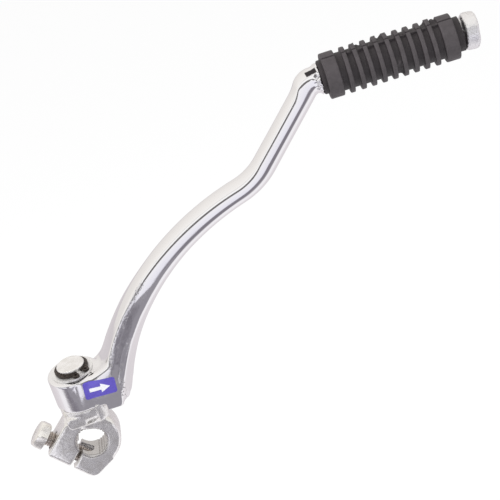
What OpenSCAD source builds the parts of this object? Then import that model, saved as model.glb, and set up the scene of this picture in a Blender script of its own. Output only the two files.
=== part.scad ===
// Folding kick start lever with a splined split clamp, a pivot post and a forged arm.
// The splined bore runs along Y, the pivot post stands up along Z, the pedal points along X.

/* [Splined clamp] */
// Length of the splined bore, along Y
hub_t = 18; // [14:0.5:24]
// Outer radius of the ring round the bore
hub_r = 14.8; // [13.6:0.2:16]
// Radius over the tips of the bore's teeth
spline_tip_r = 7.45; // [6.5:0.05:8]
// Depth of the grooves between the teeth
spline_depth = 0.65; // [0.4:0.05:0.8]
// Number of teeth round the full circle
spline_n = 30; // [20:1:36]
// Width of the saw cut between the two ears
slit_w = 1.8; // [1:0.1:3]
// Direction of the clamp bolt, in degrees from +X
clamp_dir = -46.5; // [-60:1:-35]
// Distance from the bore's axis to the foot of the ears
ear_reach = 17.3; // [17:0.1:20]
// Distance from the saw cut's middle to the head side of the ears
ear_head_side = 16; // [14:0.5:18]
// Radius of the far bottom corner of the ears
ear_corner_r = 5; // [3:0.5:6]

/* [Clamp bolt] */
// Radius of the bolt's shank
bolt_r = 3.9; // [3:0.1:4]
// Length of the shank
bolt_len = 29.5; // [26:0.5:30]
// Width across the flats of the head
bolt_af = 13; // [11:0.5:14]
// Height of the head
bolt_head_h = 5.3; // [4:0.1:6]
// Gap between head and ear, as the bolt is not done up
bolt_gap = 3.4; // [0:0.1:6]

/* [Pivot] */
// Distance of the pivot's axis from the bore's axis, along X
post_x = 2.8; // [0:0.2:5]
// Lean of the pivot towards the rider, out of square to the bore
lean = 9; // [0:1:12]
// Radius of the pivot post
post_r = 7.1; // [6:0.1:8]
// Height of the post's top above the bore's axis
post_top = 42.8; // [41:0.1:44]
// Outer radius of the arm's eye
eye_r = 13; // [12.5:0.5:14]
// Height of the eye's lower face
eye_z = 22.2; // [21.5:0.1:23]
// Length of the eye, along the post
eye_h = 17.1; // [16:0.1:17.5]
// Radial play of the eye on the post
play = 0.05; // [0.02:0.01:0.1]
// Radius of the collar that the eye turns on
collar_r = 12.5; // [11.8:0.1:12.6]
// Thickness of the thrust washer
washer_t = 1; // [0.8:0.1:1.2]
// Thickness of the retaining ring
clip_t = 1.1; // [1:0.1:1.2]
// Direction of the gap in the retaining ring
clip_dir = -58; // [-180:1:180]

/* [Detent and stop] */
// Radius of the detent ball
ball_r = 1.75; // [1.5:0.05:1.8]
// Distance of the ball from the post's axis
ball_at = 9.5; // [9.3:0.1:9.6]
// Direction of the ball from the post's axis
ball_dir = -130; // [-140:1:-120]
// How far the arm folds out, in degrees
fold_angle = 90; // [60:5:100]
// Radius of the spring wire
wire_r = 0.25; // [0.2:0.01:0.3]

/* [Arm] */
// Heading of the arm at its root, in degrees above +X
root_dir = 72.45; // [68:0.5:76]
// Radius of the long bend of the arm
bow_r = 133.4; // [125:1:140]
// Heading of the flattest stretch of the arm
flat_dir = 16.6; // [12:0.5:20]
// Radius of the reverse bend
reverse_r = 33; // [28:1:40]
// Heading of the straight upper stretch
upper_dir = 47.2; // [42:0.5:52]
// Length of the straight upper stretch
upper_len = 42.2; // [30:0.5:45]
// Radius of the bend into the pedal
elbow_r = 9; // [8.5:0.5:16]

/* [Pedal] */
// Length of the rubber between the outer faces of its collars
rubber_len = 62.4; // [55:0.2:70]
// Radius over the ribs and the collars
rib_r = 11; // [10:0.5:12]
// Radius between the ribs
core_r = 9; // [8.5:0.1:9.5]
// Number of ribs between the collars
rib_n = 9; // [5:1:10]
// Width of one rib
rib_w = 2.1; // [1.5:0.1:2.5]
// Width of each collar
rubber_collar = 6.7; // [4:0.1:8]
// Radius of the steel spindle inside the rubber
spindle_r = 6.5; // [5:0.5:7]
// Radius of the forged end of the spindle
knob_r = 9; // [8.5:0.1:9.5]
// Thickness of the forged end
knob_t = 6.2; // [5:0.1:8]

/* [Hidden] */
$fn = 96;
tiny = 0.01;

// Bore and ears, worked out from the clamp's sizes
spline_root_r = spline_tip_r + spline_depth;
spline_pitch = 360 / spline_n;
tooth_gap = 0.5 * 2 * PI * spline_tip_r / spline_n;
// Stretch of the bore beside the slit where the teeth are worn away
worn_from = -139;
worn_to = -76;
bolt_at = spline_tip_r + bolt_r + 0.25;
bolt_clear_r = bolt_r + 0.9;
// How far past the bore's middle the wide part of the bolt hole reaches
bolt_wide_to = 4.6;
ear_small_r = 2;
// Rounding of the clamp ring's rims
hub_rim = 3;
slit_at = -2;

// Heights along the pivot post
collar_top = eye_z - 0.1;
eye_top = eye_z + eye_h;
washer_z = eye_top + 0.05;
clip_z = washer_z + washer_t + 0.15;
clip_groove_r = post_r - 0.8;
clip_out_r = post_r + 1.4;
washer_r = 10.4;
spotface_r = washer_r + 0.4;

// Detent hole, its track under the eye, and the stop's lug and groove
ball_hole_r = ball_r + 0.05;
ball_up = 0.9;
ball_z = collar_top + ball_up - ball_r;
ball_hole_z = collar_top - 9;
track_top = collar_top + ball_up + 0.35;
lug_from = -66;
lug_to = -40;
lug_r = 14.3;
lug_in = 8;
lug_foot = 14;
lug_top = eye_z + 1.2;
groove_r = collar_r + 0.3;
skirt_r = 16.2;
skirt_z = 18.3;
groove_top = lug_top + 0.4;
stop_gap = 2;
// Outline and depth of the thick place in front of the ball's hole
lump = [[-8, 15.8], [-6.8, 13.2], [1.2, 13.4], [2.4, 18.6], [-5.6, 19.6], [-7.6, 18.4]];
lump_t = 11;
lump_y = 6.6;
// Foot of the post, as radius and height
post_foot = [[0, 4], [9.2, 4], [9.6, 12.5]];
// Length that cutting tools reach past the part
clear = 40;

// Path of the arm's middle line: a short lead-in, the long bow, the reverse bend,
// the straight upper stretch and the elbow into the pedal
lead = 3;
root_x = 17.1;
root_z = 15.8;
bow_len = bow_r * (root_dir - flat_dir) * PI / 180;
reverse_len = reverse_r * (upper_dir - flat_dir) * PI / 180;
elbow_len = elbow_r * upper_dir * PI / 180;
s_bow = lead;
s_reverse = s_bow + bow_len;
s_upper = s_reverse + reverse_len;
s_elbow = s_upper + upper_len;
s_end = s_elbow + elbow_len;

function along(p, dir, d) = p + d * [cos(dir), sin(dir)];
function turned(p, dir, r, by) = p + r * (by < 0
    ? [sin(dir) - sin(dir + by), cos(dir + by) - cos(dir)]
    : [sin(dir + by) - sin(dir), cos(dir) - cos(dir + by)]);
p_bow = along([root_x, root_z], root_dir, lead);
p_reverse = turned(p_bow, root_dir, bow_r, flat_dir - root_dir);
p_upper = turned(p_reverse, flat_dir, reverse_r, upper_dir - flat_dir);
p_elbow = along(p_upper, upper_dir, upper_len);
p_end = turned(p_elbow, upper_dir, elbow_r, -upper_dir);
pedal_z = p_end[1];

function deg(s, r) = s / r * 180 / PI;
function arm_dir(s) =
    s < s_bow ? root_dir :
    s < s_reverse ? root_dir - deg(s - s_bow, bow_r) :
    s < s_upper ? flat_dir + deg(s - s_reverse, reverse_r) :
    s < s_elbow ? upper_dir : upper_dir - deg(s - s_elbow, elbow_r);
function arm_at(s) =
    s < s_bow ? along([root_x, root_z], root_dir, s) :
    s < s_reverse ? turned(p_bow, root_dir, bow_r, -deg(s - s_bow, bow_r)) :
    s < s_upper ? turned(p_reverse, flat_dir, reverse_r, deg(s - s_reverse, reverse_r)) :
    s < s_elbow ? along(p_upper, upper_dir, s - s_upper) :
    turned(p_elbow, upper_dir, elbow_r, -deg(s - s_elbow, elbow_r));

// Section of the arm along its path: reach to the left and to the right of the middle
// line, half depth, and where the flat front face begins and ends
left_reach = [[0, 16], [12, 15], [15, 12.4], [17.5, 10.2], [20, 8.7], [24, 7.7],
              [30, 7.4], [39, 7.3], [93, 6.7], [133, 6.4], [168, 6.3], [189, 6.4],
              [195, 8.2], [200, 6.6]];
right_reach = [[0, 7], [2, 8.6], [4.5, 9.4], [8, 9.7], [14, 9.6], [24, 9.2], [39, 8.8],
               [93, 7.5], [133, 7.2], [168, 6.8], [200, 6.6]];
half_depth = [[0, 12], [19, 12], [26, 11.2], [36, 9.1], [48, 7.7], [72, 7],
              [133, 6.4], [200, 6.1]];
left_bevel = [[0, 0.6], [33, 0.9], [73, 1.2], [133, 1.8], [200, 2]];
front_end = [[0, -3], [13, -3.2], [33, -2.2], [63, -1.5], [133, -1.3], [200, -1.5]];
round_n = 4;
stations = concat([for (s = [0 : 2 : 44]) s], [for (s = [48 : 4 : s_elbow - 1]) s],
                  [for (i = [0 : 6]) s_elbow + i * elbow_len / 6]);

function section(s) =
    let (l = lookup(s, left_reach), r = lookup(s, right_reach), t = lookup(s, half_depth),
         fl = l - lookup(s, left_bevel), fr = lookup(s, front_end))
    [[-r, 0], [fr, -t], [fl, -t], [l, 0], [fl, t], [fr, t]];
// One corner of the section as a short curve between its two sides
function corner(a, b, c) =
    let (p = b + (a - b) * min(0.42, 3 / norm(a - b)),
         q = b + (c - b) * min(0.42, 3 / norm(c - b)))
    [for (i = [0 : round_n - 1]) let (u = i / (round_n - 1))
        (1 - u) * (1 - u) * p + 2 * u * (1 - u) * b + u * u * q];
function rounded(v) = [for (i = [0 : len(v) - 1])
    each corner(v[(i + len(v) - 1) % len(v)], v[i], v[(i + 1) % len(v)])];
function ring_at(s) =
    let (p = arm_at(s), h = arm_dir(s))
    [for (q = rounded(section(s))) [p[0] - sin(h) * q[0], q[1], p[1] + cos(h) * q[0]]];

// Web that makes the eye's front flush with the arm's front: outlines at its front and back
web_front = [[8, 24], [20, 24], [24, 44.5], [18.5, 42.2], [12.5, 40.4], [8, 38.7]];
web_back = [[8, 24], [20, 24], [22, 40], [15, 38.4], [8, 37]];
web_y = [12, 4];
// Heel at the root's lower corner: outline, front and back
heel = [[18, 18.3], [25.3, 18.3], [26.3, 19.2], [26.9, 21.5], [27, 24], [25.6, 27], [20, 26]];
heel_y = [8.2, 2];

// Rubber and spindle along X
rubber_x = p_end[0] + 2.9;
rib_gap = (rubber_len - 2 * rubber_collar - rib_n * rib_w) / (rib_n + 1);
neck_r = 8;
neck_in = 2;
neck_out = 3.9;
knob_x = rubber_x + rubber_len + neck_out + 0.2;
knob_tilt = 6;
edge = 0.35;

// A flat shape in the X-Z plane, given thickness along Y
module plate(t) {
    rotate([90, 0, 0]) linear_extrude(t, center = true) children();
}

// Everything on the pivot post leans with it
module leaning() {
    rotate([lean, 0, 0]) children();
}

// The clamp's own directions: X along the bolt, Y away from the ears' foot
module clamp_frame() {
    rotate(clamp_dir) children();
}

// Part of a ring round the post, between two directions
module ring_sector(r_in, r_out, z_from, z_to, dir_from, dir_to) {
    translate([post_x, 0, z_from]) rotate(dir_from)
        rotate_extrude(angle = dir_to - dir_from)
            translate([r_in, 0]) square([r_out - r_in, z_to - z_from]);
}

// A ring round Y with rounded rims
module round_rim_disc(r, t, rim) {
    rotate([90, 0, 0]) rotate_extrude() {
        translate([0, -t / 2 + rim]) square([r, t - 2 * rim]);
        translate([0, -t / 2]) square([r - rim, t]);
        for (side = [-1, 1]) translate([r - rim, side * (t / 2 - rim)]) circle(rim, $fn = 32);
    }
}

// Both ears in outline, in the clamp's own directions
module ear_outline() {
    foot = -ear_reach;
    corner_x = hub_r - 2.6 - ear_corner_r;
    corner_y = foot + ear_corner_r;
    reach = norm([corner_x, corner_y]);
    lean = atan2(-corner_y, corner_x);
    swing = acos((hub_r - ear_corner_r) / reach);
    side = [cos(swing - lean), sin(swing - lean)];
    polygon([
        [-ear_head_side, 2], [-ear_head_side, foot + ear_small_r],
        [-ear_head_side + ear_small_r, foot], [corner_x, foot],
        [corner_x, corner_y] + ear_corner_r * side, hub_r * side, [0, 0], [-4, 12]]);
    translate([-ear_head_side + ear_small_r, foot + ear_small_r]) circle(ear_small_r);
    translate([corner_x, corner_y]) circle(ear_corner_r);
}

// Rounds the front and back edges of the ears along the bolt's direction
module ear_profile() {
    rim = 2;
    rotate([0, -clamp_dir, 0]) rotate([90, 0, 90])
        linear_extrude(4 * hub_r, center = true) {
            translate([-hub_t / 2, -ear_reach + rim]) square([hub_t, 3 * hub_r]);
            translate([-hub_t / 2 + rim, -ear_reach]) square([hub_t - 2 * rim, 3 * hub_r]);
            for (side = [-1, 1])
                translate([side * (hub_t / 2 - rim), -ear_reach + rim]) circle(rim, $fn = 32);
        }
}

// Teeth of the bore, cut as grooves up to the worn stretch
module spline_grooves() {
    for (i = [0 : spline_n - 1]) {
        dir = worn_to + i * spline_pitch;
        if (dir < 360 + worn_from - 4)
            rotate(dir) translate([spline_tip_r - 1, 0])
                polygon([[0, -tooth_gap / 2], [1, -tooth_gap / 2],
                         [1 + spline_depth, -tooth_gap / 4], [1 + spline_depth, tooth_gap / 4],
                         [1, tooth_gap / 2], [0, tooth_gap / 2]]);
    }
}

module bore_mouths() {
    depth = 1.2;
    for (side = [-1, 1])
        translate([0, side * (hub_t / 2 + tiny), 0]) rotate([side * 90, 0, 0])
            cylinder(depth, spline_root_r + 0.6, spline_tip_r - 0.3);
}

// Post and collar, turned about the pivot's axis
module post() {
    translate([post_x, 0, 0]) rotate_extrude()
        polygon(concat(post_foot, [[collar_r - 0.4, collar_top - 5.6], [collar_r, collar_top - 4.6],
                 [collar_r, collar_top - 0.5], [collar_r - 0.5, collar_top],
                 [post_r, collar_top], [post_r, clip_z - 0.05],
                 [clip_groove_r, clip_z - 0.05], [clip_groove_r, clip_z + clip_t + 0.05],
                 [post_r, clip_z + clip_t + 0.05], [post_r, post_top - 0.5],
                 [post_r - 0.5, post_top], [0, post_top]]));
}

// Thick place in the collar's front that holds the ball and its spring
module detent_lug() {
    translate([0, -lump_y, 0]) plate(lump_t) polygon(lump);
}

module clamp_boss() {
    color([0.72, 0.71, 0.69]) difference() {
        union() {
            round_rim_disc(hub_r, hub_t, hub_rim);
            intersection() {
                plate(hub_t) clamp_frame() ear_outline();
                ear_profile();
            }
            leaning() {
                post();
                detent_lug();
                ring_sector(lug_in, lug_r, lug_foot, collar_top, lug_from, lug_to);
                ring_sector(groove_r + 0.1, lug_r, lug_foot, lug_top, lug_from, lug_to);
            }
        }
        rotate([90, 0, 0]) cylinder(hub_t + 8, r = spline_tip_r, center = true);
        plate(hub_t + 8) spline_grooves();
        bore_mouths();
        plate(hub_t + 8) clamp_frame()
            translate([slit_at - slit_w / 2, -ear_reach - 1]) square([slit_w, ear_reach]);
        rotate([0, -clamp_dir, 0]) translate([0, 0, -bolt_at]) rotate([0, 90, 0]) {
            translate([0, 0, -ear_head_side - 1])
                cylinder(ear_head_side + 1 + bolt_wide_to, r = bolt_clear_r);
            translate([0, 0, slit_at]) cylinder(hub_r - slit_at, r = bolt_r + 0.02);
        }
        leaning() translate([post_x, 0, ball_hole_z]) rotate(ball_dir)
            translate([ball_at, 0, 0]) cylinder(12, r = ball_hole_r);
    }
}

// The arm's forged body as one swept skin
module arm_body() {
    rings = [for (s = stations) ring_at(s)];
    m = len(rings[0]);
    n = len(rings);
    polyhedron(
        points = [for (r = rings) each r],
        faces = concat(
            [[for (j = [m - 1 : -1 : 0]) j]],
            [for (i = [0 : n - 2], j = [0 : m - 1])
                [i * m + j, (i + 1) * m + (j + 1) % m, (i + 1) * m + j]],
            [for (i = [0 : n - 2], j = [0 : m - 1])
                [i * m + j, i * m + (j + 1) % m, (i + 1) * m + (j + 1) % m]],
            [[for (j = [0 : m - 1]) (n - 1) * m + j]]));
}

module eye() {
    rim = 1.1;
    translate([post_x, 0, 0]) rotate_extrude() {
        translate([0, eye_z + rim]) square([eye_r, eye_h - 2 * rim]);
        translate([0, eye_z]) square([eye_r - rim, eye_h]);
        for (z = [eye_z + rim, eye_top - rim])
            translate([eye_r - rim, z]) circle(rim, $fn = 32);
    }
}

module web() {
    hull() {
        translate([0, 0.05 - web_y[0], 0]) plate(0.1) polygon(web_front);
        translate([0, -web_y[1], 0]) plate(0.1) polygon(web_back);
    }
}

module heel() {
    translate([0, -(heel_y[0] + heel_y[1]) / 2, 0]) plate(heel_y[0] - heel_y[1]) polygon(heel);
}

// Spindle, shoulder and forged end, turned about the pedal's axis
module spindle() {
    shoulder = rubber_x - neck_in - 0.1;
    start = p_end[0] - 3;
    translate([0, 0, pedal_z]) rotate([0, 90, 0]) {
        rotate_extrude() polygon([
            [0, start], [6, start], [6.8, shoulder - 2.2], [neck_r - 0.3, shoulder - 1],
            [neck_r - 0.3, shoulder], [spindle_r, shoulder],
            [spindle_r, knob_x + 1], [0, knob_x + 1]]);
        translate([-0.4, 0, knob_x + 0.6]) rotate([0, knob_tilt, 0]) rotate_extrude() {
            translate([0, 0.4]) square([knob_r - 1.8, knob_t - 0.4]);
            translate([0, 1.8]) square([knob_r, knob_t - 3.6]);
            for (z = [1.8, knob_t - 1.8]) translate([knob_r - 1.8, z]) circle(1.8, $fn = 32);
        }
    }
}

module kick_arm() {
    color([0.80, 0.80, 0.82]) leaning() difference() {
        union() {
            arm_body();
            eye();
            web();
            heel();
            spindle();
        }
        translate([post_x, 0, 0]) {
            cylinder(eye_top + clear, r = post_r + play);
            translate([0, 0, eye_top]) cylinder(clear, r = spotface_r);
            translate([0, 0, eye_z - skirt_r]) cylinder(skirt_r, r = skirt_r);
        }
        translate([-clear, -clear, skirt_z - clear]) cube([3 * clear, 2 * clear, clear]);
        ring_sector(groove_r, skirt_r + 0.3, eye_z - 1, groove_top,
                    lug_from - stop_gap, lug_to + fold_angle + stop_gap);
        ring_sector(ball_at - ball_r - 0.25, ball_at + ball_r + 0.25, eye_z - 1, track_top,
                    ball_dir - 14, ball_dir + fold_angle + 14);
    }
}

module pedal_rubber() {
    r0 = spindle_r;
    x1 = rubber_x;
    x2 = rubber_x + rubber_len;
    xr = x1 + rubber_collar + rib_gap;
    step = rib_w + rib_gap;
    color([0.13, 0.13, 0.14]) leaning()
        translate([0, 0, pedal_z]) rotate([0, 90, 0]) rotate_extrude() polygon(concat(
            [[r0, x1 - neck_in], [neck_r, x1 - neck_in], [neck_r, x1],
             [rib_r - edge, x1], [rib_r, x1 + edge],
             [rib_r, x1 + rubber_collar - edge], [rib_r - edge, x1 + rubber_collar],
             [core_r, x1 + rubber_collar]],
            [for (i = [0 : rib_n - 1]) let (a = xr + i * step) each
                [[core_r, a], [rib_r - edge, a], [rib_r, a + edge],
                 [rib_r, a + rib_w - edge], [rib_r - edge, a + rib_w], [core_r, a + rib_w]]],
            [[core_r, x2 - rubber_collar], [rib_r - edge, x2 - rubber_collar],
             [rib_r, x2 - rubber_collar + edge], [rib_r, x2 - edge], [rib_r - edge, x2],
             [neck_r, x2], [neck_r, x2 + neck_out], [r0, x2 + neck_out]]));
}

module pinch_bolt() {
    head_from = -ear_head_side - bolt_gap - bolt_head_h;
    color([0.70, 0.69, 0.67])
        rotate([0, -clamp_dir, 0]) translate([0, 0, -bolt_at]) rotate([0, 90, 0]) {
            translate([0, 0, head_from]) intersection() {
                rotate(15) cylinder(bolt_head_h, d = bolt_af / cos(30), $fn = 6);
                rotate_extrude() polygon([
                    [0, 0], [bolt_af / 2 - 0.3, 0], [bolt_af / 2 + 1.4, 1.1],
                    [bolt_af / 2 + 1.4, bolt_head_h], [0, bolt_head_h]]);
            }
            rotate_extrude() polygon([
                [0, head_from + 1], [bolt_r, head_from + 1],
                [bolt_r, head_from + bolt_head_h + bolt_len - 0.8],
                [bolt_r - 0.8, head_from + bolt_head_h + bolt_len],
                [0, head_from + bolt_head_h + bolt_len]]);
        }
}

module thrust_washer() {
    color([0.78, 0.77, 0.75]) leaning() translate([post_x, 0, washer_z]) difference() {
        cylinder(washer_t, r = washer_r);
        translate([0, 0, -1]) cylinder(washer_t + 2, r = post_r + play);
    }
}

module circlip() {
    lug_at = clip_out_r + 0.4;
    half_gap = 20;
    color([0.16, 0.13, 0.12]) leaning() translate([post_x, 0, clip_z]) rotate(clip_dir) difference() {
        union() {
            rotate(half_gap - 8) rotate_extrude(angle = 360 - 2 * half_gap + 16)
                translate([clip_groove_r + 0.02, 0])
                    square([clip_out_r - clip_groove_r - 0.02, clip_t]);
            for (side = [-1, 1]) rotate(side * half_gap) translate([lug_at, 0, 0])
                cylinder(clip_t, r = 1.7);
        }
        for (side = [-1, 1]) rotate(side * half_gap) translate([lug_at, 0, -1])
            cylinder(clip_t + 2, r = 0.75);
        translate([0, 0, -1]) cylinder(clip_t + 2, r = clip_groove_r + 0.02);
    }
}

module detent_ball() {
    color([0.60, 0.60, 0.62]) leaning() translate([post_x, 0, ball_z]) rotate(ball_dir)
        translate([ball_at, 0, 0]) sphere(ball_r);
}

// Compression spring under the ball, as a stack of closed rings joined by its helix
module detent_spring() {
    coil_r = ball_hole_r - wire_r - 0.15;
    height = ball_z - ball_r - ball_hole_z - 2 * wire_r - 0.1;
    turns = 5;
    steps = 14;
    sides = 6;
    n = turns * steps;
    function coil(i) = [coil_r * cos(360 * i / steps), coil_r * sin(360 * i / steps),
                        height * i / n];
    color([0.45, 0.45, 0.47]) leaning()
        translate([post_x, 0, ball_hole_z + wire_r + 0.05]) rotate(ball_dir)
            translate([ball_at, 0, 0]) polyhedron(
                points = [for (i = [0 : n]) each [for (j = [0 : sides - 1])
                    let (a = 360 * j / sides, c = coil(i), w = 360 * i / steps)
                    c + wire_r * [cos(a) * cos(w), cos(a) * sin(w), sin(a)]]],
                faces = concat(
                    [[for (j = [sides - 1 : -1 : 0]) j]],
                    [for (i = [0 : n - 1], j = [0 : sides - 1])
                        [i * sides + j, i * sides + (j + 1) % sides,
                         (i + 1) * sides + (j + 1) % sides]],
                    [for (i = [0 : n - 1], j = [0 : sides - 1])
                        [i * sides + j, (i + 1) * sides + (j + 1) % sides,
                         (i + 1) * sides + j]],
                    [[for (j = [0 : sides - 1]) n * sides + j]]));
}

clamp_boss();
kick_arm();
pedal_rubber();
pinch_bolt();
thrust_washer();
circlip();
detent_ball();
detent_spring();
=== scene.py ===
# %% [markdown]
# A kick start lever is three things held by a ring: a splined clamp with a pivot post, a forged and
# chromed arm that folds on the post, and a ribbed rubber on the arm's end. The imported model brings
# every piece at its true size. Blender adds what a drawing leaves out: soft forged edges, plating,
# cast grain, threads, mould marks and the light that makes chrome read as chrome.

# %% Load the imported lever
import math

import bmesh
import bpy
import numpy as np
from mathutils import Matrix, Vector, noise
from mathutils.bvhtree import BVHTree


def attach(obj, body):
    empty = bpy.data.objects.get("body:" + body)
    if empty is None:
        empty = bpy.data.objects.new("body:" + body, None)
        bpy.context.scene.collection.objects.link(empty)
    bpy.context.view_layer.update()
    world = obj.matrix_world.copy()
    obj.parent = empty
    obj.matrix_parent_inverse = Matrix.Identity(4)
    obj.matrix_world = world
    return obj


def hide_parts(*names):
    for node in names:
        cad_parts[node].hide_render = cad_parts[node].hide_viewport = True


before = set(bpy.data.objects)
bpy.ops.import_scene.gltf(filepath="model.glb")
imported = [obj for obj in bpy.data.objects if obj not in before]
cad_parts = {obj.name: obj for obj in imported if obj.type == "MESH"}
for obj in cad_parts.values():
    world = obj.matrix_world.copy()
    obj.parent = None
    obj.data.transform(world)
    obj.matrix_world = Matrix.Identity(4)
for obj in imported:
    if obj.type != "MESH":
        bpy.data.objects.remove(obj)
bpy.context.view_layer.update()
MM = 0.001
print("pieces:", sorted(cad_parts))

# %% [markdown]
# The pivot post leans 9 degrees towards the rider, and the arm, its rubber and the ring lean with
# it. It is easiest to draw those pieces upright, in millimetres, and to turn them all at the end
# with one matrix.

# %% The leaning frame
LEAN = math.radians(9)
LEANING = Matrix.Rotation(LEAN, 4, "X") @ Matrix.Scale(MM, 4)
POST_X = 2.8
POST_AXIS = Matrix.Translation((POST_X, 0, 0))


def mesh_of(name, points, faces, place=None):
    """A mesh from points and faces, put in place by a matrix."""
    mesh = bpy.data.meshes.new(name)
    mesh.from_pydata([tuple(p) for p in points], [], [tuple(f) for f in faces])
    if place is not None:
        mesh.transform(place)
    return mesh


def in_scene(name, data):
    """A new object in the scene for a mesh, a lamp or a camera."""
    thing = bpy.data.objects.new(name, data)
    bpy.context.scene.collection.objects.link(thing)
    return thing


def new_piece(name, points, faces, place=None, smooth=True):
    """A mesh object from points and faces, shaded smooth or flat."""
    mesh = mesh_of(name, points, faces, place)
    if smooth:
        mesh.shade_smooth()
    else:
        mesh.shade_flat()
    return in_scene(name, mesh)


def bake(piece):
    """Replaces the piece's mesh by what its modifiers make of it."""
    depsgraph = bpy.context.evaluated_depsgraph_get()
    baked = bpy.data.meshes.new_from_object(piece.evaluated_get(depsgraph))
    piece.modifiers.clear()
    piece.data = baked
    return piece


# %% [markdown]
# Turned shapes come up again and again here: the eye, the spindle, the rubber, the bolt. Each is an
# outline of radius and height, spun round Z. Writing the spin once as a grid of points keeps the
# mesh regular, so that bumps can be pushed into it later.

# %% A lathe
def faces_between(rows, turns):
    """Faces between rows of points that go round Z, each row with the same number of points."""
    faces = []
    for row in range(rows - 1):
        for i in range(turns):
            a, b = row * turns + i, row * turns + (i + 1) % turns
            faces.append((a, b, b + turns, a + turns))
    return faces


def faces_at_ends(rows, turns):
    """The two flat faces that close the first and the last row."""
    return [tuple(reversed(range(turns))), tuple(range((rows - 1) * turns, rows * turns))]


def lathe(outline, turns=96):
    """Points and faces of an outline [(radius, height), ...] spun round Z; closed at both ends."""
    points = []
    for radius, height in outline:
        for i in range(turns):
            a = 2 * math.pi * i / turns
            points.append((radius * math.cos(a), radius * math.sin(a), height))
    rows = len(outline)
    return points, faces_between(rows, turns) + faces_at_ends(rows, turns)


def rounded_can(radius, low, high, rim):
    """Outline of a can with both rims rounded."""
    arc = [math.radians(a) for a in range(0, 91, 15)]
    bottom = [(radius - rim + rim * math.sin(a), low + rim - rim * math.cos(a)) for a in arc]
    top = [(radius - rim + rim * math.cos(a), high - rim + rim * math.sin(a)) for a in arc]
    return [(0.01, low)] + bottom + top + [(0.01, high)]


# %% [markdown]
# The arm was forged from round bar between two dies, so its section is a flattened hexagon with
# soft corners, deep at the eye and slimmer towards the pedal. A path of three bends carries the
# section. The same few sizes as in the drawing make it here, with many more stations, because
# chrome shows every facet.

# %% Path of the arm
ROOT = Vector((17.1, 15.8))
LEAD, BOW_R, REVERSE_R, UPPER_LEN, ELBOW_R = 3.0, 133.4, 33.0, 42.2, 9.0
ROOT_DIR, FLAT_DIR, UPPER_DIR = (math.radians(a) for a in (72.45, 16.6, 47.2))
BENDS = [(LEAD, 0.0), (BOW_R * (ROOT_DIR - FLAT_DIR), -1 / BOW_R),
         (REVERSE_R * (UPPER_DIR - FLAT_DIR), 1 / REVERSE_R), (UPPER_LEN, 0.0),
         (ELBOW_R * UPPER_DIR, -1 / ELBOW_R)]
ARM_END = sum(length for length, _ in BENDS)


def arm_path(s):
    """Place (x, z) and heading on the arm's middle line, s millimetres along it."""
    place, heading = ROOT.copy(), ROOT_DIR
    for length, curve in BENDS:
        step = min(max(s, 0.0), length)
        turn = step * curve
        middle = heading + turn / 2
        chord = step if abs(turn) < 1e-9 else abs(2 * math.sin(turn / 2) / curve)
        place = place + chord * Vector((math.cos(middle), math.sin(middle)))
        heading += turn
        s -= step
        if s <= 0:
            break
    return place, heading


PEDAL = arm_path(ARM_END)[0]
print("arm is %.1f mm along its middle line, pedal at z %.1f mm" % (ARM_END, PEDAL.y))

# %% Section of the arm
# Tables of (place along the arm, size) in mm: how far the section reaches to each side of the
# middle line, half its depth, how wide the left bevel is, and where the flat front ends
LEFT_REACH = [(0, 16), (12, 15), (15, 12.4), (17.5, 10.2), (20, 8.7), (24, 7.7), (30, 7.4),
              (39, 7.3), (93, 6.7), (133, 6.4), (168, 6.3), (189, 6.4), (195, 8.2), (200, 6.6)]
RIGHT_REACH = [(0, 7), (2, 8.6), (4.5, 9.4), (8, 9.7), (14, 9.6), (24, 9.2), (39, 8.8),
               (93, 7.5), (133, 7.2), (168, 6.8), (200, 6.6)]
HALF_DEPTH = [(0, 12), (19, 12), (26, 11.2), (36, 9.1), (48, 7.7), (72, 7), (133, 6.4), (200, 6.1)]
LEFT_BEVEL = [(0, 0.6), (33, 0.9), (55, 1.3), (75, 2.2), (133, 2.6), (200, 2.6)]
FRONT_END = [(0, -3), (13, -3.2), (33, -2.7), (45, -3), (65, -3.6), (90, -3.5), (130, -3.4),
             (150, -2.7), (200, -2.5)]
# How far a corner's rounding reaches along its sides: tight at the root, softer from mid arm on
RIDGE_CUT = [(0, 1.0), (50, 1.4), (72, 4.5), (200, 4.5)]
RIGHT_CUT = [(0, 1.4), (40, 1.8), (75, 3.2), (200, 3.4)]
EDGE_CUT = 3.4


def along(table, s):
    """Value of a table at s, blended over 3 mm so that no station shows as a crease."""
    xs, ys = zip(*table)
    return float(np.mean(np.interp(np.linspace(s - 3, s + 3, 7), xs, ys)))


def arm_section(s, corner_points=9):
    """The rounded hexagon at s, as points (left, depth)."""
    left, right, depth = along(LEFT_REACH, s), along(RIGHT_REACH, s), along(HALF_DEPTH, s)
    face_left, face_right = left - along(LEFT_BEVEL, s), along(FRONT_END, s)
    corners = [Vector(c) for c in ((-right, 0), (face_right, -depth), (face_left, -depth),
                                   (left, 0), (face_left, depth), (face_right, depth))]
    ridge, edge = along(RIDGE_CUT, s), along(RIGHT_CUT, s)
    outline = []
    for i, corner in enumerate(corners):
        before, after = corners[i - 1] - corner, corners[(i + 1) % 6] - corner
        reach = (EDGE_CUT, edge, ridge, EDGE_CUT, ridge, edge)[i]
        start = corner + before * min(0.49, reach / before.length)
        end = corner + after * min(0.49, reach / after.length)
        for k in range(corner_points):
            u = k / (corner_points - 1)
            outline.append((1 - u) ** 2 * start + 2 * u * (1 - u) * corner + u * u * end)
    return outline


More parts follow.
